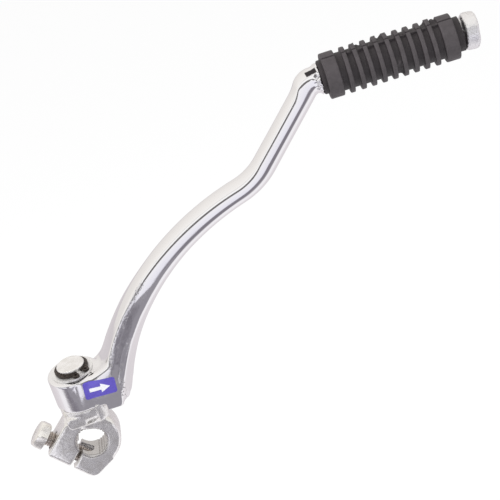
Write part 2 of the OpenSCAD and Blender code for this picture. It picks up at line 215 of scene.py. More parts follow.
def swept_arm(step=1.0):
    """The arm's forged body as one skin of rings along the path."""
    count = int(ARM_END / step)
    points, faces = [], []
    for k in range(count + 1):
        s = ARM_END * k / count
        place, heading = arm_path(s)
        ring = arm_section(s)
        for left, depth in ring:
            points.append((place.x - math.sin(heading) * left, depth,
                           place.y + math.cos(heading) * left))
    n = len(ring)
    for k in range(count):
        for j in range(n):
            a, b = k * n + j, k * n + (j + 1) % n
            faces.append((a, a + n, b + n, b))
    faces.append(tuple(range(n)))
    faces.append(tuple(reversed(range(count * n, (count + 1) * n))))
    return points, faces


print("arm is %.1f mm deep at the eye and %.1f mm at the pedal"
      % (2 * along(HALF_DEPTH, 0), 2 * along(HALF_DEPTH, ARM_END)))

# %% [markdown]
# The eye is a plain turned boss, but on the real lever it flows into the arm. Two solids joined
# with a boolean would meet in a hard crease. A voxel remesh melts them into one skin, and a few
# rounds of smoothing then give the soft fillets of a forging. The machined bore is cut last, so
# that it stays crisp.

# %% Cutting and melting
def joined(name, parts):
    """One object from several (points, faces), each with its own matrix."""
    mesh = bmesh.new()
    for (points, faces), place in parts:
        part = mesh_of("part", points, faces, place)
        mesh.from_mesh(part)
        bpy.data.meshes.remove(part)
    bmesh.ops.recalc_face_normals(mesh, faces=mesh.faces)
    data = bpy.data.meshes.new(name)
    mesh.to_mesh(data)
    mesh.free()
    return in_scene(name, data)


def melt(piece, voxel, rounds, group=""):
    """Voxel remesh, then rounds of smoothing on a vertex group, then shading as one skin."""
    if voxel:
        remesh = piece.modifiers.new("melt", "REMESH")
        remesh.mode = "VOXEL"
        remesh.voxel_size = voxel
        bake(piece)
    if rounds:
        smooth = piece.modifiers.new("smooth", "SMOOTH")
        smooth.factor = 0.5
        smooth.iterations = rounds
        smooth.vertex_group = group
        bake(piece)
    piece.data.shade_smooth()
    return piece


def cut(piece, cutters, keep_sharp=True):
    """Takes the cutters away from the piece, one boolean each."""
    for cutter in cutters:
        saw = piece.modifiers.new("cut", "BOOLEAN")
        saw.operation = "DIFFERENCE"
        saw.solver = "MANIFOLD"
        saw.object = cutter
        bake(piece)
        bpy.data.objects.remove(cutter)
    if keep_sharp:
        piece.data.set_sharp_from_angle(angle=math.radians(35))
    return piece


def can_cutter(radius, low, high, place):
    """A plain cylinder round Z, to drill and face with."""
    points, faces = lathe([(radius, low), (radius, high)], 128)
    return new_piece("cutter", points, faces, place)


def sector_cutter(r_in, r_out, low, high, start, end, place):
    """Part of a ring round Z between two directions in degrees."""
    count = 32
    points, faces = [], []
    for k in range(count + 1):
        a = math.radians(start + (end - start) * k / count)
        for radius, height in ((r_in, low), (r_out, low), (r_out, high), (r_in, high)):
            points.append((radius * math.cos(a), radius * math.sin(a), height))
    for k in range(count):
        for j in range(4):
            a, b = 4 * k + j, 4 * k + (j + 1) % 4
            faces.append((a, b, b + 4, a + 4))
    faces.append((3, 2, 1, 0))
    faces.append(tuple(4 * count + j for j in range(4)))
    return new_piece("cutter", points, faces, place)


# %% [markdown]
# The arm is joined from seven solids: the swept bar, the eye, two halves of the web in the corner
# between them, the heel under the eye, the spindle and its upset end. Web and heel could be pulled
# out of the skin by hand. A hull between two flat outlines needs only a few points, and the melting
# hides where it ends. Underneath, the eye has a groove for the stop lug and a track for the ball.

# %% The forged arm with its eye, spindle and upset end
UNMOVED = Matrix.Identity(4)
SKIN_VOXEL, SKIN_ROUNDS = 0.35, 9
EYE_R, EYE_LOW, EYE_TOP, EYE_RIM = 13.0, 22.2, 39.3, 1.1
POST_R, PLAY = 7.1, 0.05
SKIRT_R, SKIRT_LOW = 16.2, 18.3
GROOVE_R, GROOVE_TOP, GROOVE_FROM, GROOVE_TO = 12.8, 23.8, -68, 52
TRACK_IN, TRACK_OUT, TRACK_TOP, TRACK_FROM, TRACK_TO = 7.5, 11.5, 23.35, -144, -26
SPOTFACE_R = 10.8
SPINDLE_R, NECK_R = 6.5, 8.0
RUBBER_X = PEDAL.x + 2.9
RUBBER_LEN, NECK_IN, NECK_OUT = 62.4, 2.0, 2.9
KNOB_X = RUBBER_X + RUBBER_LEN + NECK_OUT + 0.2
KNOB_R, KNOB_T, KNOB_RIM, KNOB_TILT = 9.0, 7.2, 2.2, math.radians(6)
ALONG_X = Matrix.Translation((0, 0, PEDAL.y)) @ Matrix.Rotation(math.pi / 2, 4, "Y")

# Outlines in x and z of the web, from its front to its back, and of the heel, and their depths
WEB_Y, WEB_OVERLAP, HEEL_Y = (-12, -9.6, -4), 0.2, (-7.6, 2)
WEB_FRONT = [(8, 24), (20, 24), (23.6, 42), (19.6, 40.2), (15, 37.4), (8, 34.5)]
WEB_MIDDLE = [(8, 24), (20, 24), (24, 43.2), (18.4, 41.6), (12.5, 39.8), (8, 38.2)]
WEB_BACK = [(8, 24), (20, 24), (22, 40), (15, 38.4), (8, 37)]
HEEL = [(18, 18.3), (25.2, 18.3), (26.2, 19.2), (26.8, 21.5), (27, 24), (26, 29), (20, 28)]
HEEL_BACK = [(18, 18.3), (23.5, 18.3), (24.6, 19.2), (25.6, 21.5), (26, 24), (25.6, 29), (20, 28)]


def hull(front, front_y, back, back_y):
    """Points and faces of the hull between two flat outlines in x and z."""
    mesh = bmesh.new()
    for x, z in front:
        mesh.verts.new((x, front_y, z))
    for x, z in back:
        mesh.verts.new((x, back_y, z))
    made = bmesh.ops.convex_hull(mesh, input=mesh.verts)
    inside = [item for item in made["geom_interior"] if isinstance(item, bmesh.types.BMVert)]
    bmesh.ops.delete(mesh, geom=inside, context="VERTS")
    mesh.verts.index_update()
    points = [tuple(vert.co) for vert in mesh.verts]
    faces = [tuple(vert.index for vert in face.verts) for face in mesh.faces]
    mesh.free()
    return points, faces


def forged_arm():
    """The arm before its bore is cut."""
    shoulder = RUBBER_X - NECK_IN - 0.1
    start = PEDAL.x - 3
    spindle = [(0.01, start), (6, start), (6.8, shoulder - 2.2), (NECK_R - 0.4, shoulder - 1),
               (NECK_R - 0.4, shoulder - 0.1), (SPINDLE_R, shoulder + 0.1),
               (SPINDLE_R, KNOB_X + 1), (0.01, KNOB_X + 1)]
    knob_place = Matrix.Translation((-0.4, 0, KNOB_X + 0.6)) @ Matrix.Rotation(KNOB_TILT, 4, "Y")
    knob = lathe(rounded_can(KNOB_R, 0, KNOB_T, KNOB_RIM), 64)
    arm = joined("kick_arm_forging", [
        (swept_arm(), UNMOVED),
        (lathe(rounded_can(EYE_R, EYE_LOW, EYE_TOP, EYE_RIM)), POST_AXIS),
        (hull(WEB_FRONT, WEB_Y[0], WEB_MIDDLE, WEB_Y[1]), UNMOVED),
        (hull(WEB_MIDDLE, WEB_Y[1] - WEB_OVERLAP, WEB_BACK, WEB_Y[2]), UNMOVED),
        (hull(HEEL, HEEL_Y[0], HEEL_BACK, HEEL_Y[1]), UNMOVED),
        (lathe(spindle, 64), ALONG_X),
        (knob, ALONG_X @ knob_place)])
    melt(arm, SKIN_VOXEL, 0)
    cut(arm, [can_cutter(SKIRT_R, 0, EYE_LOW, POST_AXIS),
              can_cutter(60, -20, SKIRT_LOW, UNMOVED),
              sector_cutter(GROOVE_R, SKIRT_R, EYE_LOW - 1, GROOVE_TOP, GROOVE_FROM, GROOVE_TO,
                            POST_AXIS)], keep_sharp=False)
    return melt(arm, SKIN_VOXEL, SKIN_ROUNDS)


arm = forged_arm()
print("forged arm:", len(arm.data.vertices), "points")

# %% [markdown]
# Where the eye meets the arm the fillet is larger than elsewhere. A vertex group picks that corner,
# and only there the smoothing goes on for longer. The upset end of the spindle was hammered over,
# so its points are pushed in by a slow noise, never out. The shoulder in front of the rubber was
# pressed, so a noise works there in both directions.

# %% Fillet at the root
ROOT_ROUNDS = 200
CORNER_X, CORNER_Z, WEB_X = 15.5, 40.5, 8.0
WEB_SLOPE, WEB_Z = 0.62, 28.6
HEEL_X, HEEL_Z = 22, 27


def soften_root(piece):
    """Smooths the corner, the front and edge of the web, and the heel longer than the rest."""
    group = piece.vertex_groups.new(name="root")
    for vertex in piece.data.vertices:
        x, y, z = vertex.co
        weight = math.exp(-((x - CORNER_X) ** 2 + (z - CORNER_Z) ** 2) / 26)
        if EYE_LOW + 2 < z < EYE_TOP:
            weight += math.exp(-((x - WEB_X) ** 2) / 8)
        if WEB_X < x < 27 and y < -4:
            weight += math.exp(-((z - WEB_SLOPE * x - WEB_Z) ** 2) / 18)
        if x > HEEL_X and z < HEEL_Z and y < 1:
            weight += 1
        if weight > 0.02:
            group.add([vertex.index], min(1, weight), "REPLACE")
    melt(piece, 0, ROOT_ROUNDS, "root")
    piece.vertex_groups.clear()


soften_root(arm)

# %% Hammering at the end, dents in the shoulder, draft at the front
HAMMER_DEPTH, PIT_DEPTH = 0.42, 0.10
DENT_BACK, DENT_REACH, DENT_DEPTH = 3.2, 2.6, 0.6
DRAFT_X, DRAFT_Z, DRAFT_ALONG, DRAFT_ACROSS = 5.4, 28.6, 0.755, 0.655
DRAFT_GROWTH, DRAFT_MOST = 0.012, 0.8


def pushed(piece, push):
    """Moves every point of the piece along its normal by push(point)."""
    mesh = piece.data
    normals = [vertex.normal.copy() for vertex in mesh.vertices]
    spots = [vertex.co.copy() for vertex in mesh.vertices]
    moved = [spot + normal * push(spot) for spot, normal in zip(spots, normals)]
    mesh.vertices.foreach_set("co", np.array(moved, dtype=np.float32).ravel())
    mesh.update()


def hammered(spot):
    """How far the upset end is pushed at a spot: dents from a slow noise, pits from a quick one."""
    if spot.x < KNOB_X - 0.5:
        return 0.0
    slow = noise.noise(spot * 0.33)
    quick = noise.noise(spot * 1.1 + Vector((7, 3, 1)))
    return -(HAMMER_DEPTH * (0.5 + 0.5 * slow) + PIT_DEPTH * abs(quick))


def crumpled(spot):
    """The shoulder against the rubber was pressed, and chrome went over the dents."""
    near = math.exp(-((spot.x - RUBBER_X + DENT_BACK) / DENT_REACH) ** 2)
    if spot.x >= RUBBER_X or near < 0.02 or abs(spot.z - PEDAL.y) > 14:
        return 0.0
    dents = noise.noise(spot * 0.55 + Vector((3, 1, 8))) + 0.5 * noise.noise(spot * 1.2)
    return near * DENT_DEPTH * (dents - 0.6)


def drafted(spot):
    """Above a slanting line across the label the front leans back towards the eye's top."""
    if spot.y > -7 or not EYE_LOW < spot.z < 46 or spot.x > 24:
        return 0.0
    past = DRAFT_ALONG * (spot.z - DRAFT_Z) - DRAFT_ACROSS * (spot.x - DRAFT_X)
    left = max(0.0, min(1.0, (spot.x + 1.5) / 4.0))
    return -min(DRAFT_MOST, DRAFT_GROWTH * max(0.0, past) ** 2) * left


pushed(arm, hammered)
pushed(arm, drafted)
pushed(arm, crumpled)
cut(arm, [can_cutter(POST_R + PLAY, EYE_LOW - 5, EYE_TOP + 20, POST_AXIS),
          can_cutter(SPOTFACE_R, EYE_TOP, EYE_TOP + 30, POST_AXIS),
          sector_cutter(TRACK_IN, TRACK_OUT, EYE_LOW - 1, TRACK_TOP, TRACK_FROM, TRACK_TO,
                        POST_AXIS)])
arm.data.transform(LEANING)
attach(arm, "arm")
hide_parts("kick_arm")
print("arm:", len(arm.data.polygons), "faces")

# %% [markdown]
# The clamp is a rough forging under zinc. Its drawn solid already has every face, tooth and hole,
# so a copy of it is melted with a fine voxel, which rounds the edges by a few tenths as tumbling
# and plating do, and then roughened by a noise of a few hundredths of a millimetre. The broached
# teeth are left out of the smoothing. Below the collar the forging is softer still, so there the
# smoothing goes on ten times as long. The post's top stands a little higher over its ring than in
# the solid. The bolt's hole is drilled again through the soft copy, and it breaks into the bore,
# where the thread shows.

# %% The clamp with its post
# Points nearer than this to the axis and the middle of the bore are its teeth
TEETH_R, TEETH_Y = 8.7, 8.6
FORGED_BELOW, FORGED_FADE, FORGED_TIMES = 18, 3, 10
POST_ABOVE, POST_WITHIN, POST_LIFT = 41.6, 9, 0.7


def tumbled_copy(node, name, voxel, rounds, grain):
    """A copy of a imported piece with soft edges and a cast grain; the bore's teeth stay crisp."""
    piece = in_scene(name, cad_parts[node].data.copy())
    piece.data.materials.clear()
    melt(piece, voxel * MM, 0)
    group = piece.vertex_groups.new(name="outside")
    in_bore = [math.hypot(v.co.x, v.co.z) < TEETH_R * MM and abs(v.co.y) < TEETH_Y * MM
               for v in piece.data.vertices]
    group.add([i for i, inside in enumerate(in_bore) if not inside], 1.0, "REPLACE")
    melt(piece, 0, rounds, "outside")
    group = piece.vertex_groups.new(name="forging")
    for vertex, inside in zip(piece.data.vertices, in_bore):
        below = max(0.0, min(1.0, (FORGED_BELOW - vertex.co.z / MM) / FORGED_FADE))
        group.add([vertex.index], 0.0 if inside else below, "REPLACE")
    melt(piece, 0, rounds * FORGED_TIMES, "forging")
    piece.vertex_groups.clear()

    def cast(co):
        """How far the grain pushes a point in, slow and quick noise together."""
        spot = co / MM
        lump = noise.noise(spot * 0.42) * 0.5 + noise.noise(spot * 1.0) * 0.5
        return (grain * lump - grain) * MM

    pushed(piece, cast)
    piece.data.shade_smooth()
    return piece


def stand_post_up(piece):
    """Lifts the top of the post along its own axis, so that it stands proud of the ring."""
    place = LEANING @ POST_AXIS
    back = place.inverted()
    for vertex in piece.data.vertices:
        spot = back @ vertex.co
        if spot.z > POST_ABOVE and math.hypot(spot.x, spot.y) < POST_WITHIN:
            vertex.co = place @ (spot + Vector((0, 0, POST_LIFT)))


CLAMP_DIR = math.radians(-46.5)
BOLT_R, BOLT_CORE, BOLT_PITCH = 3.9, 3.3, 1.25
BORE_TIP_R = 7.45
BOLT_AT = BORE_TIP_R + BOLT_R + 0.25
BOLT_PLACE = (Matrix.Scale(MM, 4) @ Matrix.Rotation(-CLAMP_DIR, 4, "Y")
              @ Matrix.Translation((0, 0, -BOLT_AT)) @ Matrix.Rotation(math.pi / 2, 4, "Y"))
clamp = tumbled_copy("clamp_boss", "clamp_forging", voxel=0.24, rounds=9, grain=0.03)
stand_post_up(clamp)
# The bolt's hole, and the wider opening where it breaks into the bore
cut(clamp, [can_cutter(BOLT_R + 1.1, -17.5, 5.0, BOLT_PLACE),
            can_cutter(BOLT_R + 2.1, -4.6, 4.8, BOLT_PLACE)])
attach(clamp, "clamp")
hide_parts("clamp_boss")
print("clamp:", len(clamp.data.polygons), "faces")

# %% [markdown]
# The bolt's thread shows twice, under the head and through the break in the bore, so it is cut for
# real. A thread is one helix of a small tooth outline: walking round the bolt in small steps and
# climbing one pitch each turn gives a grid of points that closes on itself.

# %% The clamp bolt
HEAD_FROM, HEAD_H, HEAD_AF = -24.7, 5.3, 13.0
CORNER_OUT, CORNER_DROP = 0.75, 0.75
BOLT_LEN = 29.5
# Radius and climb of one tooth of the thread, foot to foot
TOOTH = [(BOLT_CORE, 0.0), (BOLT_CORE, 0.14), (BOLT_R, 0.46), (BOLT_R, 0.60), (BOLT_CORE, 0.94)]


def thread(start, length, steps=40):
    """Points and faces of a thread round Z that runs out at its far end."""
    rows = int(length / BOLT_PITCH * steps)
    points, faces = [], []
    for i in range(rows + 1):
        a = 2 * math.pi * i / steps
        fade = min(1.0, (rows - i) / (1.5 * steps))
        for radius, climb in TOOTH:
            r = BOLT_CORE + (radius - BOLT_CORE) * fade
            points.append((r * math.cos(a), r * math.sin(a),
                           start + BOLT_PITCH * (i / steps + climb)))
    n = len(TOOTH)
    for i in range(rows):
        for j in range(n - 1):
            a = i * n + j
            faces.append((a, a + n, a + n + 1, a + 1))
        if i + steps + 1 <= rows:
            a, above = i * n + n - 1, (i + steps) * n
            faces.append((a, a + n, above + n, above))
    return points, faces


def hex_head():
    """Hexagon head with its outer corners turned off."""
    half = HEAD_AF / 2
    # radius and height of each row; a row without a radius follows the hexagon
    rows = [(half - 0.5, 0.0), (half - 0.1, 0.15), (None, 1.1), (None, HEAD_H - 0.25),
            (half - 0.2, HEAD_H)]
    turns = 96
    points = []
    for radius, height in rows:
        for i in range(turns):
            a = 2 * math.pi * i / turns
            from_flat = (a - math.radians(15)) % (math.pi / 3) - math.pi / 6
            soft = min(half / math.cos(from_flat), half + CORNER_OUT)
            r = soft if radius is None else radius
            drop = CORNER_DROP * (soft - half) if radius is None and height < 2 else 0.0
            points.append((r * math.cos(a), r * math.sin(a), HEAD_FROM + height + drop))
    return points, faces_between(len(rows), turns) + faces_at_ends(len(rows), turns)


def clamp_bolt():
    """Head, core and thread as one piece, in the clamp."""
    under_head = HEAD_FROM + HEAD_H
    core = [(0.01, under_head - 1), (BOLT_CORE + 0.02, under_head - 1),
            (BOLT_CORE + 0.02, under_head + BOLT_LEN - 0.4),
            (BOLT_CORE - 0.5, under_head + BOLT_LEN), (0.01, under_head + BOLT_LEN)]
    bolt = joined("clamp_bolt", [
        (hex_head(), BOLT_PLACE), (lathe(core, 48), BOLT_PLACE),
        (thread(under_head - 0.6, BOLT_LEN - 1.4), BOLT_PLACE)])
    bolt.data.shade_smooth()
    bolt.data.set_sharp_from_angle(angle=math.radians(28))
    return bolt


bolt = clamp_bolt()
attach(bolt, "clamp")
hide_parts("pinch_bolt")
print("bolt:", len(bolt.data.polygons), "faces")

# %% [markdown]
# The rubber is one moulding. On the lathe it is perfect, and that is what gives a model away. So
# each rib gets its own slight lean. Where the mould halves met, one half stands a little lower, a
# fine groove crosses the ribs and a thin fin stands between them, and blobs of flash sit on some.

# %% The pedal rubber
RIB_R, CORE_R, RIB_N, RIB_W, COLLAR = 11.0, 9.0, 9, 2.1, 6.7
RIB_GAP = (RUBBER_LEN - 2 * COLLAR - RIB_N * RIB_W) / (RIB_N + 1)
SEAM_DIR, SEAM_STEP, SEAM_DEEP, SEAM_HALF = math.radians(197), 0.25, 0.8, 0.035
FIN_HALF, FIN_FROM, FIN_TO, FIN_H = 0.06, 12, 60, 1.0
# Blobs of flash: place along the rubber, direction, half width and height
BLOBS = [(30.2, 2.72, 1.6, 1.9), (26.6, 2.80, 1.0, 1.5), (51.0, 2.78, 1.3, 1.8),
         (54.0, 2.90, 1.5, 1.7), (33.7, 4.71, 1.7, 1.5), (35.5, 5.6, 1.2, 1.6),
         (57.5, 3.05, 0.9, 0.4), (17.6, 2.86, 0.9, 1.0)]


def rubber_outline():
    """Outline of the rubber along its axis, ribs and collars with small rounded rims."""
    def ridge(low, high, soft):
        """Rising and falling corner of a rib or collar, rounded by soft millimetres."""
        steps = [(0.0, 1.0), (0.29, 0.29), (1.0, 0.0)]
        up = [(RIB_R - soft * b, low + soft * a) for a, b in steps]
        down = [(RIB_R - soft * a, high - soft * b) for a, b in steps]
        return up, down

    outline = [(SPINDLE_R + 0.05, -NECK_IN), (NECK_R - 0.3, -NECK_IN), (NECK_R, -NECK_IN + 0.3),
               (NECK_R + 0.1, -0.1), (NECK_R + 0.6, 0.0)]
    ridges = [(0.0, COLLAR, 0.55)]
    first = COLLAR + RIB_GAP
    ridges += [(first + i * (RIB_W + RIB_GAP), first + i * (RIB_W + RIB_GAP) + RIB_W, 0.35)
               for i in range(RIB_N)]
    ridges.append((RUBBER_LEN - COLLAR, RUBBER_LEN, 0.55))
    for low, high, soft in ridges:
        up, down = ridge(low, high, soft)
        if low > 0:
            outline += [(CORE_R, low - 0.25), (CORE_R + 0.25, low)]
        outline += up
        middle = 3 if high - low < 3 else 6
        outline += [(RIB_R, low + (high - low) * k / (middle + 1)) for k in range(1, middle + 1)]
        outline += down
        if high < RUBBER_LEN:
            outline += [(CORE_R + 0.25, high), (CORE_R, high + 0.25)]
            outline += [(CORE_R, high + 0.25 + (RIB_GAP - 0.5) * k / 3) for k in (1, 2)]
    outline += [(NECK_R + 0.6, RUBBER_LEN), (NECK_R + 0.1, RUBBER_LEN + 0.2),
                (NECK_R + 0.2, RUBBER_LEN + NECK_OUT + 0.3),
                (SPINDLE_R + 0.05, RUBBER_LEN + NECK_OUT + 0.3)]
    return outline


def moulded_radius(radius, x, a):
    """Radius that the mould gave the outline's point at x, in direction a."""
    if radius <= NECK_R + 0.5:
        return radius - 0.25 * abs(noise.noise(Vector((x, 5 * math.cos(a), 5 * math.sin(a)))))
    r = radius - 0.05 - 0.05 * noise.noise(Vector((x * 0.5, 3 * math.cos(a), 3 * math.sin(a))))
    off_seam = (a - SEAM_DIR + math.pi) % (2 * math.pi) - math.pi
    on_rib = radius > RIB_R - 0.6
    if on_rib and off_seam < 0:
        r -= SEAM_STEP
    if on_rib and abs(off_seam) < SEAM_HALF:
        r -= SEAM_DEEP
    if not on_rib and abs(off_seam) < FIN_HALF and FIN_FROM < x < FIN_TO:
        r += FIN_H + 1.1 * noise.noise(Vector((x * 0.8, 4, 2)))
    for blob_x, blob_dir, wide, high in BLOBS:
        far = ((x - blob_x) / wide) ** 2 + ((a - blob_dir) * 9.5 / wide) ** 2
        r = min(r + high * math.exp(-far), max(r, RIB_R))
    return r


def moulded_rubber():
    """The rubber as a tube of rings, inside and out, with a lean of its own for each rib."""
    outline = rubber_outline()
    turns = 180
    points = []
    rng = np.random.default_rng(11)
    lean = rng.normal(0, 0.10, 16)
    phase = rng.uniform(0, 2 * math.pi, 16)
    for radius, x in outline:
        rib = int(np.clip(round((x - COLLAR - RIB_GAP) / (RIB_W + RIB_GAP)), 0, RIB_N - 1)) + 1
        ribbed = COLLAR + 0.5 < x < RUBBER_LEN - COLLAR - 0.5
        for i in range(turns):
            a = 2 * math.pi * i / turns
            r = moulded_radius(radius, x, a)
            shift = lean[rib] * math.cos(a - phase[rib]) * 1.2 if ribbed else 0.0
            points.append((r * math.cos(a), r * math.sin(a), RUBBER_X + x + shift))
    faces = faces_between(len(outline), turns)
    last = (len(outline) - 1) * turns
    for i in range(turns):
        j = (i + 1) % turns
        faces.append((last + i, last + j, j, i))
    rubber = new_piece("ribbed_rubber", points, faces, LEANING @ ALONG_X)
    rubber.data.set_sharp_from_angle(angle=math.radians(60))
    return rubber


rubber = moulded_rubber()
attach(rubber, "arm")
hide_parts("pedal_rubber")
print("rubber:", len(rubber.data.polygons), "faces")

# %% [markdown]
# A blue foil label sits on the front of the eye and bends a little round it. It carries a plain
# arrow and no words. Each point of a flat grid is dropped onto the arm along Y, so the foil
# follows the metal exactly, a tenth of a millimetre off it.

# %% The foil label
LABEL_CORNERS = [Vector(c) for c in ((5.5, 28.2), (21.3, 27.4), (22.1, 36.2), (6.3, 37.6))]
FOIL_T, LABEL_LIFT, ARROW_LIFT = 0.05, 0.07, 0.13


def arm_front():
    """A tree of the arm's faces in the leaning frame, to drop points on."""
    mesh = bmesh.new()
    mesh.from_mesh(arm.data)
    mesh.transform(LEANING.inverted())
    tree = BVHTree.FromBMesh(mesh)
    mesh.free()
    return tree


def on_label(u, v):
    """Point of the label's outline in the leaning frame's x and z, u and v from 0 to 1."""
    low = LABEL_CORNERS[0].lerp(LABEL_CORNERS[1], u)
    high = LABEL_CORNERS[3].lerp(LABEL_CORNERS[2], u)
    return low.lerp(high, v)


def foil(name, grid, lift):
    """A thin sheet from a grid of (u, v), dropped on the arm and lifted off it."""
    points = []
    for row in grid:
        for u, v in row:
            spot = on_label(u, v)
            hit, normal, _, _ = arm_skin.ray_cast(Vector((spot.x, -40, spot.y)), Vector((0, 1, 0)))
            points.append(hit + normal * lift)
    wide = len(grid[0])
    faces = [(r * wide + c, r * wide + c + 1, (r + 1) * wide + c + 1, (r + 1) * wide + c)
             for r in range(len(grid) - 1) for c in range(wide - 1)]
    sheet = new_piece(name, points, faces, LEANING)
    thick = sheet.modifiers.new("thick", "SOLIDIFY")
    thick.thickness = FOIL_T * MM
    thick.offset = 0
    bake(sheet).data.shade_smooth()
    sheet.data.set_sharp_from_angle(angle=math.radians(60))
    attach(sheet, "arm")
    return sheet


def rounded_sheet(columns=40, rows=24, corner=0.13):
    """Grid of a rectangle with rounded corners."""
    grid = []
    for r in range(rows + 1):
        v = r / rows
        edge = max(0.0, corner - min(v, 1 - v)) / corner
        inset = corner * 0.55 * (1 - math.sqrt(max(0.0, 1 - edge * edge)))
        grid.append([(inset + (1 - 2 * inset) * c / columns, v) for c in range(columns + 1)])
    return grid


def arrow_grids():
    """A plain arrow: a bar and a head that narrows to a point."""
    bar = [[(0.17 + 0.36 * c / 12, 0.39 + 0.22 * r / 4) for c in range(13)] for r in range(5)]
    head = [[(0.53 + 0.28 * c / 12, 0.5 + (r / 6 - 0.5) * 0.56 * (1 - c / 12.5)) for c in range(13)]
            for r in range(7)]
    return [bar, head]


arm_skin = arm_front()
label = foil("arm_label", rounded_sheet(), LABEL_LIFT)
arrow = [foil("label_arrow_%d" % i, grid, ARROW_LIFT) for i, grid in enumerate(arrow_grids())]
print("label on the arm,", len(label.data.polygons), "faces")

# %% [markdown]
# Materials next. Every finish starts from the same shader, so one helper makes it and hands back
# the nodes. Textures are laid in millimetres on the piece itself, which keeps a grain of half a
# millimetre half a millimetre wherever it lies.

# %% Material helpers
def material(name, colour, metallic, roughness):
    """A new material with its shader and a coordinate in millimetres."""
    mat = bpy.data.materials.new(name)
    mat.use_nodes = True
    tree = mat.node_tree
    shader = tree.nodes["Principled BSDF"]
    shader.inputs["Base Color"].default_value = (*colour, 1)
    shader.inputs["Metallic"].default_value = metallic
    shader.inputs["Roughness"].default_value = roughness
    place = tree.nodes.new("ShaderNodeTexCoord")
    scale = tree.nodes.new("ShaderNodeVectorMath")
    scale.operation = "SCALE"
    scale.inputs["Scale"].default_value = 1 / MM
    tree.links.new(place.outputs["Object"], scale.inputs[0])
    return mat, tree, shader, scale.outputs[0]


def noise_node(tree, vector, scale, detail=2.0, rough=0.5):
    """A cloudy value round 0.5; scale is in lumps per millimetre."""
    node = tree.nodes.new("ShaderNodeTexNoise")
    node.inputs["Scale"].default_value = scale
    node.inputs["Detail"].default_value = detail
    node.inputs["Roughness"].default_value = rough
    tree.links.new(vector, node.inputs["Vector"])
    return node.outputs["Fac"]


def map_range(tree, value, low, high, to_low=0.0, to_high=1.0, smooth=True):
    """Takes low to high over to to_low to to_high; a low above high turns it round."""
    node = tree.nodes.new("ShaderNodeMapRange")
    node.interpolation_type = "SMOOTHSTEP" if smooth else "LINEAR"
    for socket, number in zip(("From Min", "From Max", "To Min", "To Max"),
                              (low, high, to_low, to_high)):
        node.inputs[socket].default_value = number
    tree.links.new(value, node.inputs["Value"])
    return node.outputs["Result"]


def maths(tree, operation, first, second):
    """One sum of two values, each a number or the output of a node."""
    node = tree.nodes.new("ShaderNodeMath")
    node.operation = operation
    for index, value in enumerate((first, second)):
        if isinstance(value, (int, float)):
            node.inputs[index].default_value = value
        else:
            tree.links.new(value, node.inputs[index])
    return node.outputs[0]


def vector_maths(tree, operation, vector, other):
    """A vector against a fixed one: SUBTRACT gives a vector, DISTANCE and DOT_PRODUCT a number."""
    node = tree.nodes.new("ShaderNodeVectorMath")
    node.operation = operation
    node.inputs[1].default_value = other
    tree.links.new(vector, node.inputs[0])
    return node.outputs["Vector" if operation == "SUBTRACT" else "Value"]


def mix_colours(tree, fac, first, second):
    """The first colour where fac is 0, the second where it is 1."""
    node = tree.nodes.new("ShaderNodeMix")
    node.data_type = "RGBA"
    tree.links.new(fac, node.inputs["Factor"])
    for socket, value in ((node.inputs["A"], first), (node.inputs["B"], second)):
        if isinstance(value, tuple):
            socket.default_value = (*value, 1)
        else:
            tree.links.new(value, socket)
    return node.outputs["Result"]


def bump(tree, shader, height, distance_mm):
    """Relief in the shading, so many millimetres high where the height is 1."""
    node = tree.nodes.new("ShaderNodeBump")
    node.inputs["Distance"].default_value = distance_mm * MM
    node.inputs["Strength"].default_value = 1.0
    tree.links.new(height, node.inputs["Height"])
    tree.links.new(node.outputs["Normal"], shader.inputs["Normal"])


def axis_value(tree, vector, axis):
    """One coordinate of a vector."""
    node = tree.nodes.new("ShaderNodeSeparateXYZ")
    tree.links.new(vector, node.inputs[0])
    return node.outputs[axis]


# %% [markdown]
# Chrome is thin and copies what lies under it. Along the arm it was polished to a mirror, but the
# root keeps the forging's fine orange peel, and pinholes follow both edges beside the label. So
# the mirror is one roughness, a mask of height along the lever brings in the peel and the haze
# near the eye, and a curve along each edge says where the pinholes go. A short patch in front of
# the rubber is painted black and made rougher: a painted dark reflection on the shoulder.

# %% Chrome
# The last colour is a painted dark reflection, laid on a patch of the shoulder
CHROME, PIT_TONE, DARK_REFLECTION_TONE = (0.93, 0.925, 0.93), (0.42, 0.41, 0.42), (0.060, 0.055, 0.058)
EDGE_TONE, EDGE_SHARE = (0.50, 0.49, 0.53), 0.4
# Edges with pinholes, each a run of (height, x at that height), and how far the holes spread
LEFT_EDGE = ((38.5, 22.3), (44.1, 25.3), (57.6, 33.9), (69.7, 43.8), (78.6, 52.4))
RIGHT_EDGE = ((19.0, 23.4), (27.0, 24.6), (33.0, 25.6), (52.6, 37.4))
LEFT_SPREAD, RIGHT_SPREAD = 1.9, 1.7
# The painted dark reflection: three directions in the part's frame, each with its low and high end
DARK_REFLECTION_PATCH = (((0.983, 0.066, 0.171), 173.5, 178.7),
               ((-0.183, 0.352, 0.918), 101.2, 103.6),
               ((0, 1, 0), -34.0, -25.6))
LONE_PITS = ((143.1, -28.3, 141.8), (141.5, -28.0, 139.7), (137.7, -27.6, 136.3))


